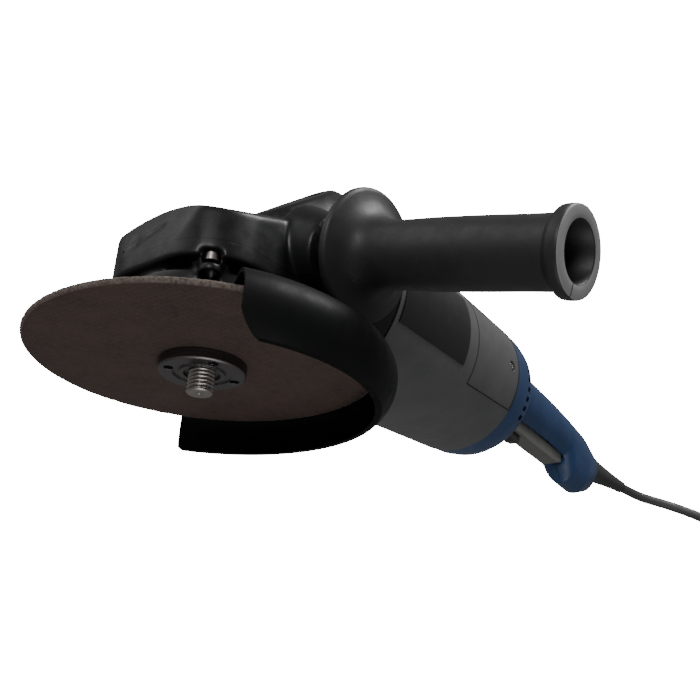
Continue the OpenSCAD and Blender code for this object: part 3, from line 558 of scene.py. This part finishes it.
def chipped(radius, height, angle):
    """The disc's radius at an angle, with small chips out of its rim."""
    if radius < DISC_R - CHIP_DEPTH:
        return radius
    at = Vector((math.cos(angle), math.sin(angle), 0))
    chip = noise.noise(at * 42 + Vector((0, 0, height * 900)))
    return radius - CHIP_DEPTH * max(0, chip) - FRAY_DEPTH * abs(noise.noise(at * 150))


def disc_profile():
    """(radius, height) points out along the lower face, round the rim and back."""
    flats = [DISC_BORE_R + (DISC_R - 0.0007 - DISC_BORE_R) * i / 12 for i in range(13)]
    low, high = DISC_Z, DISC_Z + DISC_T
    rim = [(DISC_R - 0.0002, low + 0.0004), (DISC_R, low + 0.001), (DISC_R, high - 0.001),
           (DISC_R - 0.0002, high - 0.0004)]
    return [(r, low) for r in flats] + rim + [(r, high) for r in reversed(flats)] + [(flats[0], low)]


disc_mesh = turned("bonded_disc", disc_profile(), 480, upright, chipped)
disc_mesh.set_sharp_from_angle(angle=math.radians(40))
add_piece("bonded_disc", disc_mesh, "disc_brown", "spindle", "grinding_disc")

# ---------------------------------------------------------------- side handle

SIDE_RIM = [(66, 15.2), (70, 20.5), (75, 27.5), (78, 31.6), (79.4, 33.7), (80.8, 34.5), (82.6, 34.4),
            (83.8, 33.2), (84.6, 30.6), (86.4, 26.2), (89.6, 22), (94.5, 18.9), (101, 17.5), (112, 17.4),
            (127, 17.7), (152, 17.6), (176, 17.2), (189.4, 17.3), (190.8, 18), (191.8, 19.6),
            (192.8, 20.5), (194.4, 20.8), (197.4, 20.8), (198.6, 20.5), (199, 19.8)]
SIDE_END, SIDE_HOLLOW_END, SIDE_HOLLOW_R = 199, 121, 13.8
END_FACE_DEPTH = 0.25


def along_side(x, y, s):
    """Puts a point of the side handle's own frame, its axis on z, into the shared frame."""
    return (SIDE_X + x, -s * math.cos(SIDE_LEAN) + y * math.sin(SIDE_LEAN),
            MOTOR_Z - s * math.sin(SIDE_LEAN) - y * math.cos(SIDE_LEAN))


def side_profile():
    """(radius, height) points of the grip, with its hollow end."""
    outer = smooth_line([Vector((r, 0, s)) * MM for s, r in SIDE_RIM], 0.0012)
    points = [(0.0003, outer[0].z)] + [(p.x, p.z) for p in outer]
    end, back, bore = SIDE_END * MM, SIDE_HOLLOW_END * MM, SIDE_HOLLOW_R * MM
    return points + [(0.0165, end), (bore + 0.0006, end), (bore, end - 0.0006), (bore, end - 0.03),
                     (bore, back + 0.001), (bore - 0.001, back), (0.0003, back)]


side_mesh = turned("side_grip", side_profile(), 96, along_side)
side_mesh.set_sharp_from_angle(angle=math.radians(50))
add_piece("side_grip", side_mesh, "handle_grey", "housing", "side_handle_grip")
# The end face takes the lighter grey: painted light on that face of the grip.
side_mesh.materials.append(PAINTED_LIGHT_END_FACE)
side_foot = Vector(along_side(0, 0, 0))
side_out = Vector(along_side(0, 0, 1)) - side_foot
for polygon in side_mesh.polygons:
    if (polygon.center - side_foot).dot(side_out) > (SIDE_END - END_FACE_DEPTH) * MM:
        polygon.material_index = 1

# ---------------------------------------------------------------- motor housing and rear handle

HOUSING_OUTER = ((93, 58), (140, 56.6), (195, 54.6), (250.5, 52))
COVER_X, COVER_HALF = 187.2, math.radians(33.8)
COVER_END, COVER_REAR = 249.9, 249.8
EDGE_STEPS, ARC_STEPS = 14, 24
SEAM_DEPTH, SEAM_R = 0.3, 0.0006


def housing_r(x):
    """The motor housing's outer radius at a place along it."""
    for (x0, r0), (x1, r1) in zip(HOUSING_OUTER, HOUSING_OUTER[1:]):
        if x <= x1:
            return r0 + (r1 - r0) * (x - x0) / (x1 - x0)
    return HOUSING_OUTER[-1][1]


def on_housing(x, angle, side):
    """A point on the housing's surface, its angle measured from straight out on that side."""
    r = housing_r(x) - SEAM_DEPTH
    return Vector((x, side * r * math.cos(angle), MOTOR_AXIS + r * math.sin(angle))) * MM


def cover_seam(side):
    """The dark gap round the brush cover, as one thin strip that closes in front of the collar."""
    length, arc = COVER_END - COVER_X, 2 * COVER_HALF
    line = [on_housing(COVER_END - length * i / EDGE_STEPS, -COVER_HALF, side) for i in range(EDGE_STEPS)]
    line += [on_housing(COVER_X, -COVER_HALF + arc * i / ARC_STEPS, side) for i in range(ARC_STEPS + 1)]
    line += [on_housing(COVER_X + length * i / EDGE_STEPS, COVER_HALF, side)
             for i in range(1, EDGE_STEPS + 1)]
    line += [on_housing(COVER_REAR, COVER_HALF - arc * i / ARC_STEPS, side)
             for i in range(1, ARC_STEPS + 1)]
    return line


for side, label in ((-1, "left"), (1, "right")):
    line = cover_seam(side)
    seam_mesh = tube("cover_seam_" + label, line, [SEAM_R] * len(line), 8)
    seam = add_piece("cover_seam_" + label, seam_mesh, "black_plastic", "housing")
    seam.data.materials[0] = SEAM

add_piece("collar_shell", evened("collar_shell", "rear_collar"), "blue_plastic", "housing", "rear_collar")
handle_mesh = softened("handle_shell", ["rear_handle_left", "rear_handle_right"], voxel=0.0009, rounds=9,
                       keep=0.5)
add_piece("handle_shell", handle_mesh, "blue_plastic", "housing", "rear_handle_left", "rear_handle_right")
trigger_mesh = softened("trigger_shell", ["trigger"], voxel=0.0006, rounds=5, keep=0.5)
add_piece("trigger_shell", trigger_mesh, "trigger_grey", "trigger", "trigger")

# ---------------------------------------------------------------- stage, light, camera

FLOOR_HALF, FLOOR_X = 3.0, 0.25


def floor_material():
    """Pale from above, see-through from below, because the camera looks up at the object."""
    g = Graph("floor", (0.8, 0.8, 0.8), 0.9)
    g.set("Emission Color", (1, 1, 1, 1))
    g.set("Emission Strength", 0.5)
    tree = g.tree
    side = g.node("ShaderNodeNewGeometry").outputs["Backfacing"]
    clear = g.node("ShaderNodeBsdfTransparent")
    mix = tree.nodes.new("ShaderNodeMixShader")
    tree.links.new(side, mix.inputs["Fac"])
    tree.links.new(g.shader.outputs["BSDF"], mix.inputs[1])
    tree.links.new(clear.outputs["BSDF"], mix.inputs[2])
    tree.links.new(mix.outputs["Shader"], tree.nodes["Material Output"].inputs["Surface"])
    return g.material


def add_floor():
    """A wide floor that casts nothing onto the object."""
    mesh = bpy.data.meshes.new("floor")
    corners = [(-FLOOR_HALF, -FLOOR_HALF), (FLOOR_HALF, -FLOOR_HALF), (FLOOR_HALF, FLOOR_HALF),
               (-FLOOR_HALF, FLOOR_HALF)]
    mesh.from_pydata([(x + FLOOR_X, y, FLOOR_Z) for x, y in corners], [], [(0, 1, 2, 3)])
    made = bpy.data.objects.new("floor", mesh)
    bpy.context.collection.objects.link(made)
    made.data.materials.append(floor_material())
    made.visible_shadow = False
    made.visible_diffuse = False
    made.visible_glossy = False


def area_light(name, at, target, size, power, shape="DISK"):
    data = bpy.data.lights.new(name, "AREA")
    data.shape = shape
    data.size = size
    data.energy = power
    made = bpy.data.objects.new(name, data)
    bpy.context.collection.objects.link(made)
    made.location = at
    made.rotation_euler = (Vector(target) - Vector(at)).to_track_quat("-Z", "Y").to_euler()


def add_world(light, backdrop):
    """Even light from all round, behind a bright white backdrop."""
    world = bpy.data.worlds.new("studio")
    bpy.context.scene.world = world
    world.use_nodes = True
    tree = world.node_tree
    soft = tree.nodes["Background"]
    soft.inputs["Color"].default_value = (1, 1, 1, 1)
    soft.inputs["Strength"].default_value = light
    bright = tree.nodes.new("ShaderNodeBackground")
    bright.inputs["Strength"].default_value = backdrop
    seen = tree.nodes.new("ShaderNodeLightPath")
    mix = tree.nodes.new("ShaderNodeMixShader")
    tree.links.new(seen.outputs["Is Camera Ray"], mix.inputs["Fac"])
    tree.links.new(soft.outputs["Background"], mix.inputs[1])
    tree.links.new(bright.outputs["Background"], mix.inputs[2])
    tree.links.new(mix.outputs["Shader"], tree.nodes["World Output"].inputs["Surface"])


def add_camera():
    data = bpy.data.cameras.new("camera")
    data.lens = 45.75
    data.sensor_width = 36
    data.clip_start = 0.01
    made = bpy.data.objects.new("camera", data)
    bpy.context.collection.objects.link(made)
    made.location = (-0.28517, -0.31970, -0.15631)
    made.rotation_euler = [math.radians(a) for a in (113.285, -3.312, -53.142)]
    bpy.context.scene.camera = made


add_floor()
add_world(0.2, 30)
area_light("key", (-0.75, 0.45, 0.85), (0.0, 0, 0.06), 1.0, 5, "SQUARE")
area_light("top", (0.35, -0.65, 1.05), (0.25, -0.05, 0.08), 0.6, 14)
area_light("left", (-0.9, -0.55, 0.3), (0.15, 0, 0.08), 0.4, 5)
area_light("under", (-0.1, -0.3, -0.95), (0.05, 0, 0), 0.7, 3.5)
add_camera()
